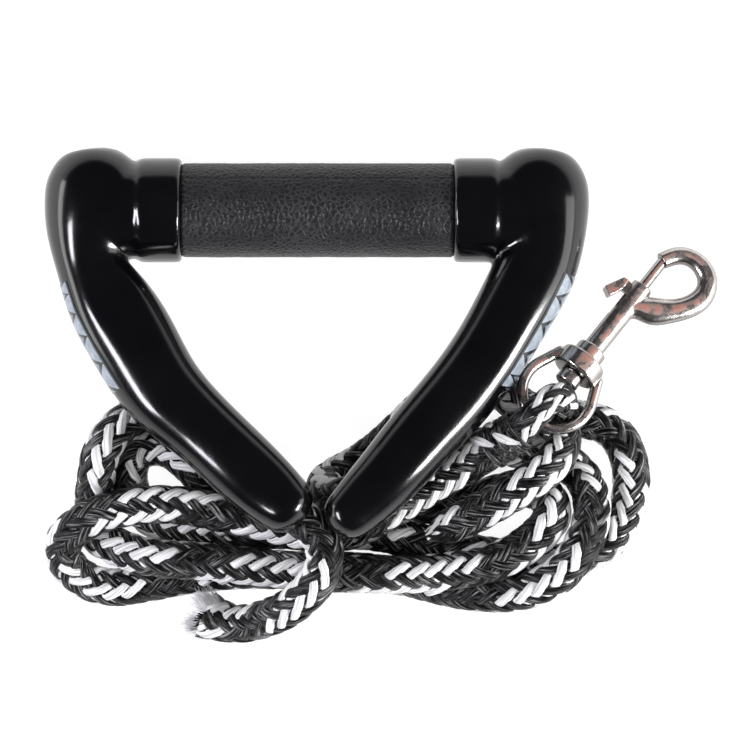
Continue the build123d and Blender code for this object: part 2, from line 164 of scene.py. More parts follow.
# The free rope: out under the right leg's tip, through the pile and up to the ring.
TOW_ROPE = [
    (27, -42.5, 37.2),
    (15.5, -51.5, 38.0),
    (7.5, -53.5, 30),
    (2.2, -52.6, 21),
    (2.5, -48, 9.5),
    (16.5, -41.5, ON_SURFACE),
    (31.5, -28, ON_SURFACE),
    (42.5, -16.5, ON_SURFACE),
    (52, -9.5, ON_SURFACE),
    (61.5, -12.5, ON_SURFACE),
    (68, -20, ON_SURFACE),
    (79, -25.5, ON_SURFACE),
    (92, -26, ON_SURFACE),
    (104, -29, ON_SURFACE),
    (110.5, -40, ON_SURFACE),
    (111, -54, ON_SURFACE),
    (106, -67, ON_SURFACE),
    (95, -75.5, ON_SURFACE),
    (80, -78, ON_SURFACE),
    (62, -75, ON_SURFACE),
    (42, -71.5, ON_SURFACE),
    (20, -66, ON_SURFACE),
    (0, -65.5, ON_SURFACE),
    (-22, -66, ON_SURFACE),
    (-42, -66.5, ON_SURFACE),
    (-56, -63.8, ON_SURFACE),
    (-64.3, -57, ON_SURFACE),
    (-67.7, -47, ON_SURFACE),
    (-65, -37.6, ON_SURFACE),
    (-54.5, -35.6, ON_SURFACE),
    (-45.5, -42, ON_SURFACE),
    (-37.5, -51.8, ON_SURFACE),
    (-28, -50.8, ON_SURFACE),
    (-24.5, -41.8, ON_SURFACE),
    (-28.5, -33, ON_SURFACE),
    (-37, -26.3, ON_SURFACE),
    (-45.5, -21.5, 7.6),
    (-58, -22.5, 10),
    (-69, -27.3, 16),
    (-76, -36.5, 20),
    (-77.8, -46.5, 16.4),
    (-80, -58, ON_SURFACE),
    (-79.5, -67, ON_SURFACE),
    (-70.5, -72, 10.5),
    (-58, -75.5, 18.5),
    (-41, -76, 19.8),
    (-18, -78.5, 20.3),
    (6, -80.6, 20.1),
    (28, -81, 20.0),
    (46, -80, 19.0),
    (62, -77, 20),
    (74.5, -70, 20.3),
    (83.2, -60.8, 19),
    (81.6, -53.3, 11),
    (72, -50, ON_SURFACE),
    (57.5, -54.5, ON_SURFACE),
    (44, -58.3, ON_SURFACE),
    (33, -55.9, ON_SURFACE),
    (30.6, -47, ON_SURFACE),
    (37.6, -40.7, ON_SURFACE),
    (46, -37.2, ON_SURFACE),
    (57, -35.8, ON_SURFACE),
    (70, -36.9, ON_SURFACE),
    (83.8, -39.3, ON_SURFACE),
    (94.6, -46.8, 9.2),
    (97.2, -59, 16.8),
    (92.5, -72, 20.5),
    (83.5, -83, 20.5),
    (67.5, -88.8, 14.5),
    (48, -87, ON_SURFACE),
    (28, -81.5, ON_SURFACE),
    (6, -79.5, ON_SURFACE),
    (-16, -80, ON_SURFACE),
    (-38, -80.3, ON_SURFACE),
    (-58, -84, ON_SURFACE),
    (-75, -87, ON_SURFACE),
    (-87, -81, 8),
    (-91.5, -71, 14),
    (-83, -62.3, 22),
    (-70, -57.2, 22.4),
    (-50, -55.6, 20.5),
    (-27, -60.8, 20),
    (-6, -66.3, 20),
    (10, -67, 20),
    (27, -57.5, 20.5),
    (42, -48.5, 21),
    (54.5, -41, 25),
    (64, -34.2, 30),
    (70.5, -29.5, 33.6),
]

# Through the ring: over the ring's wire, back under it.
ROPE_EYE = [
    (70.5, -29.5, 33.6),
    (75.8, -24.2, 37.0),
    (81.0, -19.0, 35.2),
    (85.1, -18.3, 29.6),
    (86.4, -22.2, 21.3),
    (87.0, -27.2, 17.8),
    (86.8, -34, 18.6),
]

# From the ring back along the first leg to the splice.
RETURN_LEG = [
    (86.8, -34, 18.6),
    (83.5, -41, 22.3),
    (75.5, -47.5, 25.2),
    (63, -55.3, 22.5),
    (50, -62.5, 20.5),
    (38, -67.3, 20.2),
]

# The cut end: out under the left leg's tip, over the pile and down to the floor.
ROPE_TAIL = [
    (-22.0, -48.5, 37.8),
    (-13, -55, 35.6),
    (-4.5, -61.2, 33.6),
    (3, -69.2, 33.6),
    (2.5, -80, 34.0),
    (-8, -91.5, 30.0),
    (-20, -97.5, 13),
    (-31.5, -99.5, 7.0),
    (-40, -95.5, ON_SURFACE),
]


# ---------- materials ----------

class Shader:
    """A node material being put together: add() makes a node and wires its inputs."""

    def __init__(self, name, settings):
        self.material = bpy.data.materials.new(name)
        self.material.use_nodes = True
        self.tree = self.material.node_tree
        self.surface = self.tree.nodes["Principled BSDF"]
        for socket, value in settings.items():
            self.surface.inputs[socket].default_value = value

    def add(self, kind, inputs=(), **options):
        node = self.tree.nodes.new("ShaderNode" + kind)
        for option, value in options.items():
            setattr(node, option, value)
        for socket, value in dict(inputs).items():
            self.put(node, socket, value)
        return node

    def put(self, node, socket, value):
        if isinstance(value, bpy.types.NodeSocket):
            self.tree.links.new(value, node.inputs[socket])
        else:
            node.inputs[socket].default_value = value

    def set(self, socket, value):
        self.put(self.surface, socket, value)

    def place(self, scale=(1, 1, 1), source="Object"):
        """Coordinates on the object, in metres, stretched by scale."""
        where = self.add("TexCoord").outputs[source]
        return self.add("Mapping", {"Vector": where, "Scale": scale}).outputs["Vector"]

    def noise(self, scale, detail=3.0, roughness=0.5, vector=None, distortion=0.0):
        inputs = {"Vector": vector or self.place(), "Scale": scale, "Detail": detail}
        inputs.update({"Roughness": roughness, "Distortion": distortion})
        return self.add("TexNoise", inputs).outputs["Fac"]

    def ramp(self, value, *stops):
        """A colour ramp through (position, colour) stops."""
        node = self.add("ValToRGB", {"Fac": value})
        points = node.color_ramp.elements
        while len(points) < len(stops):
            points.new(0.5)
        for point, (position, colour) in zip(points, stops):
            point.position = position
            point.color = colour if len(colour) == 4 else (*colour, 1)
        return node.outputs["Color"]

    def range(self, value, low, high, to_low, to_high):
        inputs = {"Value": value, "From Min": low, "From Max": high, "To Min": to_low, "To Max": to_high}
        return self.add("MapRange", inputs).outputs["Result"]

    def maths(self, operation, *values):
        return self.add("Math", dict(enumerate(values)), operation=operation).outputs["Value"]

    def mix(self, share, first, second):
        node = self.add("Mix", data_type="RGBA")
        for index, value in ((0, share), (6, first), (7, second)):
            if isinstance(value, tuple) and len(value) == 3:
                value = (*value, 1)
            self.put(node, index, value)
        return node.outputs[2]

    def bump(self, height, strength, distance, under=None):
        inputs = {"Height": height, "Strength": strength, "Distance": distance}
        if under is not None:
            inputs["Normal"] = under
        return self.add("Bump", inputs).outputs["Normal"]


def strand_material(name, dark, light, glint, gloss):
    """Yarn of many fine filaments that run along the strand, with painted shade between its bundles and
    painted highlights where some filaments catch the light.
    """
    shader = Shader(name, {"Specular IOR Level": 0.22})
    filaments = shader.noise(1.0, 3.0, 0.7, shader.place((260, 2600, 1), "UV"))
    bundles = shader.noise(1.0, 1.0, 0.5, shader.place((110, 1500, 1), "UV"))
    glint_patches = shader.noise(110, 3.0)
    # Painted shade: the colour is darker in the grooves between bundles, where the bump is low.
    tone_and_shade = shader.ramp(bundles, (0.38, dark), (0.62, light))
    # Painted highlight: glints on the bundles' crests, stronger in some patches than others.
    crest = shader.range(bundles, 0.50, 0.62, 0.0, 1.0)
    lit = shader.maths("MULTIPLY", crest, shader.range(filaments, 0.42, 0.60, 0.0, 1.0))
    lit = shader.maths("MULTIPLY", lit, shader.range(glint_patches, 0.38, 0.58, 0.15, 1.0))
    shader.set("Base Color", shader.mix(lit, tone_and_shade, glint))
    shader.set("Roughness", shader.range(filaments, 0.35, 0.65, gloss * 1.3, gloss * 0.8))
    under = shader.bump(bundles, 1.0, 0.0008)
    shader.set("Normal", shader.bump(filaments, 0.8, 0.00035, under))
    return shader.material


def gloss_black(name):
    """Polished black moulding with faint haze and fine scratches."""
    settings = {"Specular IOR Level": 0.5, "IOR": 1.50, "Coat Weight": 0.15, "Coat Roughness": 0.04}
    shader = Shader(name, settings)
    haze = shader.noise(38, 4.0, 0.6)
    fine = shader.noise(420, 2.0, 0.5, shader.place((1, 0.25, 1)))
    hazed = shader.range(haze, 0.35, 0.75, 0.13, 0.20)
    scratched = shader.range(fine, 0.6, 0.8, 0.0, 0.04)
    shader.set("Roughness", shader.maths("ADD", hazed, scratched))
    black = shader.ramp(haze, (0.3, (0.0012, 0.0012, 0.0016)), (0.8, (0.0028, 0.0026, 0.0034)))
    shader.set("Base Color", black)
    shader.set("Normal", shader.bump(shader.noise(70, 2.0), 0.05, 0.0006))
    return shader.material


def pebbled_grip(name):
    """Black moulded foam rubber with a leather-like grain, painted highlights making its creases paler,
    and a few scuffs.
    """
    shader = Shader(name, {"Specular IOR Level": 0.35, "Sheen Weight": 0.05, "Sheen Roughness": 0.5})
    where = shader.place()
    bent = shader.add("MixRGB", {"Fac": 0.0012, "Color1": where}, blend_type="ADD")
    shader.put(bent, "Color2", shader.add("TexNoise", {"Vector": where, "Scale": 500.0}).outputs["Color"])
    inputs = {"Vector": bent.outputs["Color"], "Scale": 560.0}
    edge = shader.add("TexVoronoi", inputs, feature="DISTANCE_TO_EDGE").outputs["Distance"]
    fine = shader.noise(1300, 3.0, 0.6)
    scuff = shader.noise(150, 5.0, 0.75, shader.place((0.5, 1, 1)), 0.6)
    patches = shader.noise(45, 3.0, 0.6)
    # Painted highlight: the creases between grains are made paler, more so in some patches.
    crease = shader.range(edge, 0.0, 0.16, 1.0, 0.0)
    lit = shader.maths("MULTIPLY", crease, shader.range(patches, 0.38, 0.62, 0.1, 0.8))
    base = shader.ramp(fine, (0.3, (0.005, 0.005, 0.006)), (0.75, (0.012, 0.0115, 0.013)))
    base = shader.mix(lit, base, (0.036, 0.0355, 0.038))
    base = shader.mix(shader.range(scuff, 0.68, 0.80, 0.0, 0.30), base, (0.30, 0.30, 0.32))
    shader.set("Base Color", base)
    shader.set("Roughness", shader.range(fine, 0.3, 0.7, 0.40, 0.58))
    under = shader.bump(fine, 0.35, 0.00012)
    height = shader.range(edge, 0.0, 0.28, 0.0, 1.0)
    shader.set("Normal", shader.bump(height, 0.8, 0.00028, under))
    return shader.material


def worn_chrome(name):
    """Nickel plating with painted shade darkening its sides, browned along its upper crests and hazed by
    handling.
    """
    shader = Shader(name, {"Metallic": 1.0, "IOR": 2.2})
    normal = shader.add("TexCoord").outputs["Normal"]
    facing = shader.add("VectorMath", {0: normal, 1: SNAP_UP}, operation="DOT_PRODUCT").outputs["Value"]
    streaks = shader.noise(120, 5.0, 0.68, shader.place(), 1.0)
    haze = shader.noise(420, 3.0, 0.6)
    pits = shader.noise(1500, 2.0, 0.5)
    plating = shader.ramp(haze, (0.3, (0.54, 0.50, 0.47)), (0.75, (0.74, 0.71, 0.68)))
    facing = shader.maths("ABSOLUTE", facing)
    # Painted shade: the plating is darkened where the surface turns away from the snap's flat side.
    side = shader.range(facing, 0.30, 0.88, 0.82, 0.0)
    plating = shader.mix(side, plating, (0.13, 0.12, 0.115))
    crest = shader.range(facing, 0.945, 0.99, 0.0, 1.0)
    patch = shader.range(streaks, 0.44, 0.56, 0.15, 1.0)
    share = shader.maths("MULTIPLY", shader.maths("MULTIPLY", crest, patch), 0.85)
    shader.set("Base Color", shader.mix(share, plating, (0.44, 0.155, 0.10)))
    shader.set("Metallic", shader.range(share, 0.0, 0.9, 1.0, 0.35))
    grain = shader.range(haze, 0.3, 0.8, 0.18, 0.30)
    shader.set("Roughness", shader.maths("ADD", grain, shader.maths("MULTIPLY", share, 0.25)))
    under = shader.bump(shader.noise(260, 2.0), 0.10, 0.0004)
    shader.set("Normal", shader.bump(pits, 0.12, 0.00008, under))
    return shader.material


def printed_film(name):
    """A pale blue-grey film with a plain dark zigzag and edge lines; it carries no mark or lettering."""
    settings = {"Specular IOR Level": 0.5, "Roughness": 0.25, "Coat Weight": 0.3, "Coat Roughness": 0.05}
    shader = Shader(name, settings)
    split = shader.add("SeparateXYZ", {"Vector": shader.add("TexCoord").outputs["UV"]})
    across, along = split.outputs["Y"], split.outputs["X"]
    repeat = shader.maths("FRACT", shader.maths("MULTIPLY", along, ZIGZAGS))
    sway = shader.maths("ABSOLUTE", shader.maths("SUBTRACT", repeat, 0.5))
    zigzag = shader.maths("ADD", shader.maths("MULTIPLY", sway, 1.3), 0.20)
    gap = shader.maths("ABSOLUTE", shader.maths("SUBTRACT", across, zigzag))
    line = shader.maths("LESS_THAN", gap, 0.10)
    rim = shader.maths("GREATER_THAN", across, 0.93)
    below = shader.maths("LESS_THAN", across, zigzag)
    wear = shader.noise(260, 5.0, 0.7)
    base = shader.ramp(wear, (0.35, (0.17, 0.21, 0.25)), (0.7, (0.34, 0.38, 0.43)))
    base = shader.mix(shader.maths("MULTIPLY", below, 0.6), base, (0.10, 0.13, 0.16))
    shader.set("Base Color", shader.mix(shader.maths("MAXIMUM", line, rim), base, (0.010, 0.011, 0.014)))
    return shader.material


def plain_finish(name, colour, roughness, metallic=0.0, scale=300):
    """A quiet finish for the parts inside the handle."""
    shader = Shader(name, {"Metallic": metallic})
    grain = shader.noise(scale, 3.0)
    darker = tuple(c * 0.75 for c in colour)
    shader.set("Base Color", shader.ramp(grain, (0.3, darker), (0.7, colour)))
    shader.set("Roughness", shader.range(grain, 0.3, 0.7, roughness * 0.85, roughness * 1.15))
    return shader.material


def floor_finish(name):
    """A white table lit from below, so that shadows on it stay faint."""
    settings = {"Specular IOR Level": 0.1, "Roughness": 0.7}
    settings.update({"Emission Color": (1.0, 1.0, 1.0, 1), "Emission Strength": 0.90})
    shader = Shader(name, settings)
    white = shader.ramp(shader.noise(9, 2.0), (0.3, (0.24, 0.24, 0.24)), (0.7, (0.26, 0.26, 0.26)))
    shader.set("Base Color", white)
    return shader.material


# ---------- lines and meshes ----------

def route_line(points, spacing=0.0005):
    """Evenly spaced points along the smooth spline that a route's points control."""
    curve = bpy.data.curves.new("route", "CURVE")
    curve.dimensions = "3D"
    spline = curve.splines.new("NURBS")
    spline.points.add(len(points) - 1)
    for control, point in zip(spline.points, points):
        control.co = (*(c * MM for c in point), 1)
    spline.order_u = 3
    spline.use_endpoint_u = True
    spline.resolution_u = 24
    holder = bpy.data.objects.new("route", curve)
    bpy.context.scene.collection.objects.link(holder)
    mesh = bpy.data.meshes.new_from_object(holder)
    line = np.array([v.co[:] for v in mesh.vertices])
    bpy.data.objects.remove(holder)
    steps = np.linalg.norm(np.diff(line, axis=0), axis=1)
    line = line[np.concatenate([[True], steps > 1e-9])]
    travelled = np.concatenate([[0.0], np.cumsum(np.linalg.norm(np.diff(line, axis=0), axis=1))])
    stops = np.linspace(0, travelled[-1], int(travelled[-1] / spacing) + 1)
    return np.stack([np.interp(stops, travelled, line[:, k]) for k in range(3)], axis=1)


class Path:
    """A line with its lengths and with cross directions that don't twist."""

    def __init__(self, line):
        self.line = line
        steps = np.linalg.norm(np.diff(line, axis=0), axis=1)
        self.at = np.concatenate([[0.0], np.cumsum(steps)])
        self.length = self.at[-1]
        tangents = np.gradient(line, axis=0)
        self.along = tangents / np.linalg.norm(tangents, axis=1)[:, None]
        side = np.cross(self.along[0], (0, 0, 1.0))
        sides = []
        for tangent in self.along:
            side = side - tangent * np.dot(side, tangent)
            side = side / np.linalg.norm(side)
            sides.append(side)
        self.side = np.array(sides)
        self.up = np.cross(self.side, self.along)

    def sample(self, values, s):
        return np.stack([np.interp(s, self.at, values[:, k]) for k in range(3)], axis=-1)

    def around(self, s, angle, radius):
        """Points at a distance from the line, at an angle around it."""
        centre = self.sample(self.line, s)
        side, up = self.sample(self.side, s), self.sample(self.up, s)
        outward = side * np.cos(angle)[..., None] + up * np.sin(angle)[..., None]
        return centre + outward * np.asarray(radius)[..., None]


class Sheets:
    """Gathers grids of points into one mesh, with a material index and UVs in metres for each."""

    def __init__(self):
        self.points, self.faces, self.slots, self.uvs = [], [], [], []
        self.count = 0

    def grid(self, points, slot, u, v, closed=False):
        rows, columns = points.shape[:2]
        start = self.count
        self.points.append(points.reshape(-1, 3))
        self.count += rows * columns
        across = columns if closed else columns - 1
        for i in range(rows - 1):
            for j in range(across):
                k = (j + 1) % columns
                self.faces.append(
                    (start + i * columns + j, start + i * columns + k,
                     start + (i + 1) * columns + k, start + (i + 1) * columns + j)
                )
                self.slots.append(slot)
                high = v[j + 1] if j + 1 < len(v) else v[-1]
                self.uvs += [(u[i], v[j]), (u[i], high), (u[i + 1], high), (u[i + 1], v[j])]

    def build(self, name, materials, flip=False):
        mesh = bpy.data.meshes.new(name)
        faces = [face[::-1] for face in self.faces] if flip else self.faces
        mesh.from_pydata(np.concatenate(self.points).tolist(), [], faces)
        for made in materials:
            mesh.materials.append(made)
        mesh.polygons.foreach_set("material_index", self.slots)
        layer = mesh.uv_layers.new(name="UVMap")
        uvs = self.uvs
        if flip:
            uvs = [uv for k in range(0, len(uvs), 4) for uv in uvs[k:k + 4][::-1]]
        layer.data.foreach_set("uv", np.array(uvs, float).ravel())
        mesh.polygons.foreach_set("use_smooth", [True] * len(mesh.polygons))
        mesh.update()
        piece = bpy.data.objects.new(name, mesh)
        bpy.context.scene.collection.objects.link(piece)
        return piece


def weave_height(phase):
    """1 where a strand lies over, -1 where it lies under, with short soft changes between."""
    return np.tanh(2.2 * np.cos(math.pi * (phase - 0.25))) / math.tanh(2.2)


def braid(sheets, path, size_at, spacing, swell=None):
    """Sixteen ribbons over and under one another, and a dark tube inside them as painted shade for the
    hollow.
    """
    s = np.linspace(0, path.length, int(path.length / spacing) + 1)
    scale = size_at(s)
    across, crown = np.array(RIBBON_ACROSS), np.array(RIBBON_CROWN)
    slope = math.atan(TAU * ROPE_MIDDLE_R / STRAND_LAY)
    for turn in (1, -1):
        for index in range(8):
            wander = 0.05 * np.sin(s * 61 + index * 2.1 + turn) + 0.04 * np.sin(s * 23 + index * 4.7)
            phase = index + turn * 8 * s / STRAND_LAY
            height = turn * weave_height(np.mod(phase, 2))
            angle = turn * TAU * s / STRAND_LAY + TAU * index / 8 + wander
            plump = 1 + 0.07 * np.sin(s * 143 + index * 1.3)
            white = turn == 1 and index in WHITE_STRANDS
            half_width = WHITE_HALF_WIDTH if white else BLACK_HALF_WIDTH
            wide = half_width * scale * plump
            offset = across[None, :] * wide[:, None]
            s_here = np.clip(s[:, None] - turn * math.sin(slope) * offset, 0, path.length)
            radius = (ROPE_MIDDLE_R + height * WEAVE_DEPTH)[:, None] + crown[None, :]
            radius = radius * scale[:, None]
            angle_here = angle[:, None] + math.cos(slope) * offset / (ROPE_MIDDLE_R * scale[:, None])
            points = path.around(s_here, angle_here, radius)
            if swell is not None:
                points = swell(points, s)
            points[..., 2] = np.maximum(points[..., 2], FLOOR_GAP)
            start = index * 0.37 + turn * 0.11
            sheets.grid(points, 1 if white else 0, s + start, across * half_width + start)
    # The dark tube inside is painted shade for the braid's hollow.
    rows = np.linspace(0, path.length, int(path.length / 0.003) + 1)
    ring = np.linspace(0, TAU, 9)[:-1]
    core = path.around(
        np.repeat(rows[:, None], 8, 1),
        np.repeat(ring[None, :], len(rows), 0),
        np.repeat((CORE_R * size_at(rows))[:, None], 8, 1),
    )
    core[..., 2] = np.maximum(core[..., 2], FLOOR_GAP)
    sheets.grid(core, 2, rows, ring * 0.005, closed=True)


def fuzz(name, path, count, radius_at, length, finish, seed, spread=0.5, stretch=None):
    """Loose fibres that stand off the rope."""
    dice = random.Random(seed)
    sheets = Sheets()
    low, high = stretch or (0.0, path.length)
    for _ in range(count):
        s = dice.uniform(low, high)
        angle = dice.uniform(0, TAU)
        size = length * dice.uniform(0.4, 1.3)
        lean, twist = dice.uniform(-1, 1), dice.uniform(-1, 1)
        steps = np.linspace(0, 1, 4)
        along = np.clip(s + steps * size * lean * 0.8, 0, path.length)
        skin = float(radius_at(s))
        turn = angle + steps * size * twist / skin * 0.7
        out = skin + size * spread * np.sin(steps * 2.4) * dice.uniform(0.2, 0.8)
        middle = path.around(along, turn, out)
        other = path.around(along, turn + 0.010, out)
        other += (middle - other) * steps[:, None] * 0.8
        points = np.stack([middle, other], axis=1)
        points[..., 2] = np.maximum(points[..., 2], FLOOR_GAP)
        sheets.grid(points, 0, steps * size, np.array([0.0, 0.0001]))
    return sheets.build(name, [finish])


# ---------- the rope ----------

def rope_size(path, thin_from, thin_to):
    """The rope's thickness along its length: thinner in the ring, tapered at a buried end."""
    def size_at(s):
        middle, half = (thin_from + thin_to) / 2, (thin_to - thin_from) / 2
        dip = 1 / (1 + np.exp((np.abs(s - middle) - half) / EYE_EASE))
        taper = np.clip((path.length - s) / BURIED_TAPER, 0, 1) ** 0.5
        return (1 - EYE_THINNING * dip) * np.maximum(taper, 0.35)
    return size_at


def nearest_length(path, point):
    """How far along a path its nearest place to a point in millimetres is."""
    gaps = np.linalg.norm(path.line - np.array(point) * MM, axis=1)
    return path.at[int(np.argmin(gaps))]


def make_ropes(black, white, hollow, hair, frayed):
    free = Path(route_line(TOW_ROPE + ROPE_EYE + RETURN_LEG))
    thin_from = nearest_length(free, ROPE_EYE[0])
    thin_to = nearest_length(free, ROPE_EYE[-1])
    sheets = Sheets()
    size_at = rope_size(free, thin_from, thin_to)
    braid(sheets, free, size_at, 0.0011)
    rope = sheets.build("braided_tow_rope", [black, white, hollow])
    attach(rope, "handle")
    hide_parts("tow_rope", "rope_eye", "rope_return_leg")

    whipping = wind_throat(free, thin_from, black, white)
    fibres = fuzz("rope_fuzz", free, 2600, lambda s: FUZZ_R * size_at(s), FUZZ_LENGTH, hair, 7)
    by_ring = (thin_from - 0.016, thin_from + 0.006)
    throat = fuzz(
        "throat_fuzz", free, 700, lambda s: THROAT_FUZZ_R, THROAT_FUZZ_LENGTH, hair, 11, 0.8, by_ring
    )
    for piece in (fibres, throat):
        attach(piece, "handle")
    make_tail(black, white, hollow, hair, frayed)


def wind_throat(path, thin_from, black, white):
    """Untidy black yarn wound round the rope just before the ring, under a few stray white strands."""
    start, end = thin_from - THROAT_START, thin_from - THROAT_END
    steps = np.linspace(0, 1, THROAT_TURNS * 20)
    wander = 0.0008 * np.sin(steps * 29) + 0.0005 * np.sin(steps * 67 + 1)
    s = start + (end - start) * steps + wander
    middle_angle = steps * THROAT_TURNS * TAU
    ring = np.linspace(0, TAU, 7)[:-1]
    radius = THROAT_R - 0.0004 * steps + 0.00022 * np.sin(steps * 47)
    points = path.around(
        s[:, None] + YARN_R * np.cos(ring)[None, :],
        np.repeat(middle_angle[:, None], 6, 1),
        radius[:, None] + YARN_R * np.sin(ring)[None, :],
    )
    sheets = Sheets()
    sheets.grid(points, 0, steps * THROAT_TURNS * 0.045, ring * YARN_R, closed=True)
    across = np.linspace(-1, 1, 5)
    for begin, finish, from_angle, to_angle in THROAT_STRAYS:
        steps = np.linspace(0, 1, 24)
        middle = thin_from + begin + (finish - begin) * steps
        turn = from_angle + (to_angle - from_angle) * steps
        lift = STRAY_R + 0.0005 * np.sin(math.pi * steps)
        width = STRAY_HALF_WIDTH * np.sin(math.pi * (0.12 + 0.76 * steps))
        points = path.around(
            middle[:, None] + width[:, None] * across[None, :],
            turn[:, None] + 60 * width[:, None] * across[None, :],
            lift[:, None] - 0.0003 * (across ** 2)[None, :],
        )
        sheets.grid(points, 1, steps * 0.009, across * STRAY_HALF_WIDTH)
    piece = sheets.build("throat_yarn", [black, white])
    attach(piece, "handle")
    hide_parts("throat_whipping")
    return piece


def make_tail(black, white, hollow, hair, frayed):
    path = Path(route_line(ROPE_TAIL))
    flare_start = path.length - FLARE_LENGTH

    def flare(points, s):
        """The cut end opens a little."""
        open_by = np.clip((s - flare_start) / FLARE_LENGTH, 0, 1) ** 1.5
        centre = path.sample(path.line, s)[:, None, :]
        return points + (points - centre) * (FLARE * open_by)[:, None, None]

    sheets = Sheets()
    braid(sheets, path, lambda s: np.ones_like(s), 0.0009, flare)
    piece = sheets.build("braided_tail", [black, white, hollow])
    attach(piece, "handle")
    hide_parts("rope_tail")
    fibres = fuzz("tail_fuzz", path, 260, lambda s: FUZZ_R, FUZZ_LENGTH, hair, 3)
    tuft = frayed_tuft(path, frayed, black)
    for extra in (fibres, tuft):
        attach(extra, "handle")


def frayed_tuft(path, pale, dark):
    """The cut end's strands, opened into uneven clumps of loose fibres."""
    dice = random.Random(5)
    end, along = path.line[-1], path.along[-1]
    side, up = path.side[-1], path.up[-1]
    sheets = Sheets()
    for clump in range(TUFT_CLUMPS):
        heart = TAU * clump / TUFT_CLUMPS + dice.uniform(-0.35, 0.35)
        reach = dice.uniform(0.0050, 0.0105)
        spread = dice.uniform(0.0, 0.55)
        back = dice.uniform(0.002, 0.006)
        sway = dice.uniform(-0.35, 0.35)
        depth = dice.uniform(0.0030, 0.0066)
        for _ in range(CLUMP_FIBRES):
            angle = heart + dice.uniform(-0.30, 0.30)
            outward = side * math.cos(angle) + up * math.sin(angle)
            sideways = np.cross(along, outward)
            spot = end + outward * (depth + dice.uniform(-0.0008, 0.0008))
            spot = spot - along * (back + dice.uniform(-0.001, 0.001))
            steps = np.linspace(0, 1, 5)[:, None]
            length = reach * dice.uniform(0.5, 1.1)
            bend = outward * (spread + dice.uniform(-0.25, 0.25))
            bend += sideways * (sway + dice.uniform(-0.3, 0.3))
            middle = spot + along * length * steps + bend * length * steps ** 2
            width = sideways * FIBRE_HALF_WIDTH * (1 - 0.6 * steps)
            points = np.stack([middle - width, middle + width], axis=1)
            points[..., 2] = np.maximum(points[..., 2], FLOOR_GAP)
            slot = 1 if clump % CLUMPS_PER_DARK == 3 else 0
            sheets.grid(points, slot, steps[:, 0] * length, np.array([0.0, 0.0003]))
    return sheets.build("tail_tuft", [pale, dark])


# ---------- the handle ----------

def reshaped_copy(node, name, voxel, rounds, finish, regrow, shape=None):
    """A copy of a CAD node's mesh, remeshed finely and smoothed so that its corners blend."""
    mesh = bpy.data.objects[node].data.copy()
    mesh.materials.clear()
    piece = bpy.data.objects.new(name, mesh)
    bpy.context.scene.collection.objects.link(piece)
    remesh = piece.modifiers.new("remesh", "REMESH")
    remesh.mode = "VOXEL"
    remesh.voxel_size = voxel
    smooth = piece.modifiers.new("smooth", "SMOOTH")
    smooth.factor = 0.5
    smooth.iterations = rounds
    settled = bpy.data.meshes.new_from_object(piece.evaluated_get(bpy.context.evaluated_depsgraph_get()))
    piece.modifiers.clear()
    piece.data = settled
    settled.materials.append(finish)
    settled.polygons.foreach_set("use_smooth", [True] * len(settled.polygons))
    normals = [vertex.normal.copy() for vertex in settled.vertices]
    for vertex, normal in zip(settled.vertices, normals):
        vertex.co += normal * regrow
        if shape:
            vertex.co = shape(vertex.co)
    settled.update()
    return piece


def make_arms(finish):
    arms = {}
    for side in ("left", "right"):
        node = f"{side}_arm"
        shape = press_hollow if side == "left" else None
        name = f"{side}_moulded_arm"
        piece = reshaped_copy(node, name, ARM_VOXEL, ARM_SMOOTHINGS, finish, ARM_REGROWTH, shape)
        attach(piece, "handle")
        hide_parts(node)
        arms[side] = piece
    return arms


def press_hollow(spot):
    """The finger hollow on top of the left leg, just below its elbow."""
    dx, dy = spot.x - HOLLOW[0], spot.y - HOLLOW[1]
    along = dx * HOLLOW_HEADING[0] + dy * HOLLOW_HEADING[1]
    across = -dx * HOLLOW_HEADING[1] + dy * HOLLOW_HEADING[0]
    if spot.z > GRIP_AXIS_Z:
        press = math.exp(-((along / HOLLOW_REACH) ** 2) - (across / HOLLOW_HALF_WIDTH) ** 2)
        spot.z -= HOLLOW_DEPTH * press
    return spot


def make_grip(finish):
    """The pebbled sleeve, with its lengthwise seam and slightly rolled ends."""
    rows, around = 200, 240
    x = np.linspace(-GRIP_HALF, GRIP_HALF, rows)
    angle = np.linspace(0, TAU, around + 1)[:-1]
    points = np.zeros((rows, around, 3))
    for i, place in enumerate(x):
        end = min(1.0, (GRIP_HALF - abs(place)) / ROLL_LENGTH)
        for j, turn in enumerate(angle):
            direction = Vector((0, math.cos(turn), math.sin(turn)))
            spot = Vector((place, 0, 0)) + direction * GRIP_R
            pebble = noise.noise(spot * 900) * 0.00007 + noise.noise(spot * 160) * 0.00008
            gap = abs(turn - SEAM_ANGLE) * GRIP_R
            groove = SEAM_DEPTH * math.exp(-(gap / SEAM_WIDTH) ** 2)
            radius = GRIP_R + pebble - groove - ROLL_DEPTH * (1 - end) ** 2
            points[i, j] = lie((place, math.cos(turn) * radius, math.sin(turn) * radius))
    sheets = Sheets()
    sheets.grid(points, 0, x, angle * GRIP_R, closed=True)
    piece = sheets.build("grip_skin", [finish], flip=True)
    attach(piece, "handle")
    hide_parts("grip_sleeve")


def lie(point):
    """From the handle's own plane, about the grip's axis, to where the handle lies."""
    x, y, z = point
    cos, sin = math.cos(-TILT), math.sin(-TILT)
    return (x, GRIP_AXIS_Y + y * cos - z * sin, GRIP_AXIS_Z + y * sin + z * cos)


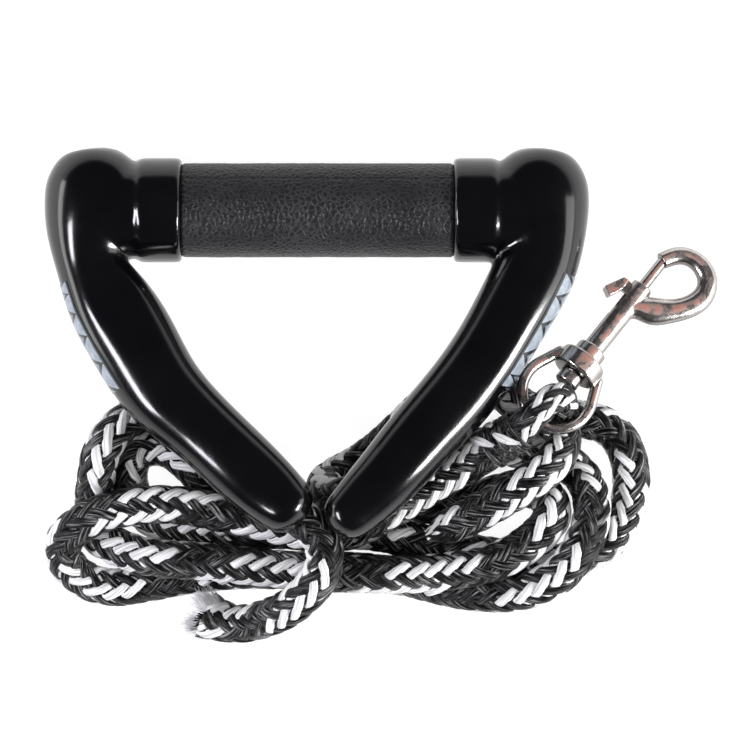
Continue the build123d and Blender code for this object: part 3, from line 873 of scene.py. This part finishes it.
def make_labels(arms, finish):
    """Printed films on the outer upper flanks, laid onto the arms' surface."""
    for side, sign in (("left", -1), ("right", 1)):
        node = f"{side}_side_label"
        arm = arms[side].data
        tree = BVHTree.FromPolygons([v.co for v in arm.vertices], [p.vertices[:] for p in arm.polygons])
        rows, columns = 90, 26
        points = np.zeros((rows, columns, 3))
        spine = leg_spine(sign)
        bottom = math.radians(LABEL_BOTTOM_DEG)
        for i, t in enumerate(np.linspace(0, 1, rows)):
            centre, heading = spine(t)
            outward = Vector((heading.y * -sign, heading.x * sign, 0)).normalized()
            if outward.x * sign < 0:
                outward = -outward
            for j, lift in enumerate(np.linspace(bottom, math.radians(LABEL_TOP_DEG[side]), columns)):
                ray = outward * math.cos(lift) + Vector((0, 0, 1)) * math.sin(lift)
                hit = tree.ray_cast(centre + ray * CLEAR_OF_ARM, -ray)[0]
                points[i, j] = (hit or centre + ray * ARM_R) + ray * LABEL_LIFT
        sheets = Sheets()
        sheets.grid(points, 0, np.linspace(0, 1, rows), np.linspace(0, 1, columns))
        piece = sheets.build(f"{side}_film", [finish])
        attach(piece, "handle")
        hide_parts(node)


def leg_spine(sign):
    """The middle of a leg beside its label, and its heading, as a function of 0 to 1 down the leg."""
    places = {
        -1: [(-77.2, -21.5), (-74.4, -28.7), (-67.4, -41.7), (-57.8, -57.5)],
        1: [(76.1, -18.0), (70.1, -31.8), (60.3, -49.6), (55.4, -56.5)],
    }[sign]
    middles = [Vector(lie((x * MM, y * MM, 0))) for x, y in places]

    def spine(t):
        place = t * (len(middles) - 1)
        k = min(int(place), len(middles) - 2)
        heading = (middles[k + 1] - middles[k]).normalized()
        return middles[k].lerp(middles[k + 1], place - k), heading
    return spine


# ---------- the snap ----------

def make_snap(finish):
    """The snap's parts, smoothed: each node with its voxel, its smoothings, its regrowth and its body."""
    pieces = []
    for node, voxel, rounds, regrow, body in (
        ("swivel_eye", 0.0003, 5, 0.00012, "swivel"),
        ("snap_body", 0.0003, 7, 0.00008, "snap"),
        ("bolt_plunger", 0.0002, 2, 0.00001, "bolt"),
        ("thumb_lever", 0.0002, 4, 0.00005, "bolt"),
    ):
        piece = reshaped_copy(node, f"cast_{node}", voxel, rounds, finish, regrow)
        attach(piece, body)
        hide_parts(node)
        pieces.append(piece)
    return pieces


def dress_cad_nodes():
    """The nodes that keep their CAD shape get their finishes."""
    tube = plain_finish("tube_aluminium", (0.72, 0.73, 0.75), 0.35, 1.0)
    bush = plain_finish("bush_plastic", (0.05, 0.05, 0.055), 0.5)
    inner = plain_finish("inner_rope", (0.05, 0.05, 0.055), 0.8)
    wire = plain_finish("spring_wire", (0.55, 0.55, 0.56), 0.3, 1.0)
    for node, finish in (
        ("bar_tube", tube),
        ("left_bar_ferrule", bush),
        ("right_bar_ferrule", bush),
        ("bridle_rope", inner),
        ("bolt_spring", wire),
    ):
        for holder in bpy.data.objects[node].material_slots:
            holder.material = finish


# ---------- the studio ----------

def make_camera():
    data = bpy.data.cameras.new("camera")
    data.lens = LENS_MM
    data.sensor_width = SENSOR_MM
    camera = bpy.data.objects.new("camera", data)
    distance = VIEW_WIDTH * LENS_MM / SENSOR_MM
    camera.location = (*VIEW_CENTRE, VIEW_HEIGHT_LEVEL + distance)
    bpy.context.scene.collection.objects.link(camera)
    bpy.context.scene.camera = camera


def soft_light(name, place, size, power, colour=(1, 1, 1), glossy=True):
    """A rectangular soft light that faces the handle; glossy=False keeps it out of reflections."""
    data = bpy.data.lights.new(name, "AREA")
    data.shape = "RECTANGLE"
    data.size, data.size_y = size
    data.energy = power
    data.color = colour
    light = bpy.data.objects.new(name, data)
    light.location = place
    light.visible_glossy = glossy
    bpy.context.scene.collection.objects.link(light)
    heading = Vector(LIT_SPOT) - light.location
    light.rotation_euler = heading.to_track_quat("-Z", "Y").to_euler()


def make_studio():
    mesh = bpy.data.meshes.new("floor")
    reach = 3.0
    corners = [(-reach, -reach, 0), (reach, -reach, 0), (reach, reach, 0), (-reach, reach, 0)]
    mesh.from_pydata(corners, [], [(0, 1, 2, 3)])
    mesh.materials.append(floor_finish("floor_white"))
    floor = bpy.data.objects.new("floor", mesh)
    bpy.context.scene.collection.objects.link(floor)
    make_world()
    soft_light("right_box", (0.84, -0.34, 0.42), (0.34, 0.24), 11.0)
    soft_light("left_box", (-0.88, -0.24, 0.74), (0.60, 0.22), 11.0, colour=(0.95, 0.93, 1.0))
    soft_light("right_panel", (1.13, -0.20, 0.37), (1.0, 0.5), 5.0)
    soft_light("left_panel", (-1.1, 0.10, 0.20), (0.90, 0.24), 3.0)
    soft_light("fill", (0.1, 0.1, 1.4), (1.0, 1.0), 8.0, glossy=False)


def make_world():
    """A dark ceiling above bright low walls, so that polished black keeps a black middle."""
    world = bpy.data.worlds.new("studio")
    world.use_nodes = True
    tree = world.node_tree
    where = tree.nodes.new("ShaderNodeTexCoord")
    split = tree.nodes.new("ShaderNodeSeparateXYZ")
    ramp = tree.nodes.new("ShaderNodeValToRGB")
    tree.links.new(where.outputs["Generated"], split.inputs["Vector"])
    tree.links.new(split.outputs["Z"], ramp.inputs["Fac"])
    tree.links.new(ramp.outputs["Color"], tree.nodes["Background"].inputs["Color"])
    low, high = ramp.color_ramp.elements
    low.position, low.color = WALL_TOP, (0.95, 0.93, 0.98, 1)
    high.position, high.color = CEILING_START, (0.055, 0.052, 0.058, 1)
    tree.nodes["Background"].inputs["Strength"].default_value = 1.0
    bpy.context.scene.world = world
    bpy.context.scene.view_settings.view_transform = "Standard"


make_camera()
snap = make_snap(worn_chrome("stained_chrome"))
make_ropes(
    strand_material("black_yarn", BLACK_YARN_DARK, BLACK_YARN_LIGHT, BLACK_YARN_GLINT, 0.32),
    strand_material("white_yarn", WHITE_YARN_DARK, WHITE_YARN_LIGHT, WHITE_YARN_GLINT, 0.42),
    # The braid's hollow: a dark tube as painted shade.
    plain_finish("rope_hollow", (0.012, 0.012, 0.013), 0.9),
    plain_finish("loose_fibre", (0.17, 0.17, 0.17), 0.6),
    plain_finish("frayed_fibre", (0.86, 0.86, 0.88), 0.6),
)
black = gloss_black("gloss_black")
moulded = make_arms(black)
make_grip(pebbled_grip("grip_rubber"))
make_labels(moulded, printed_film("printed_film"))
dress_cad_nodes()
make_studio()
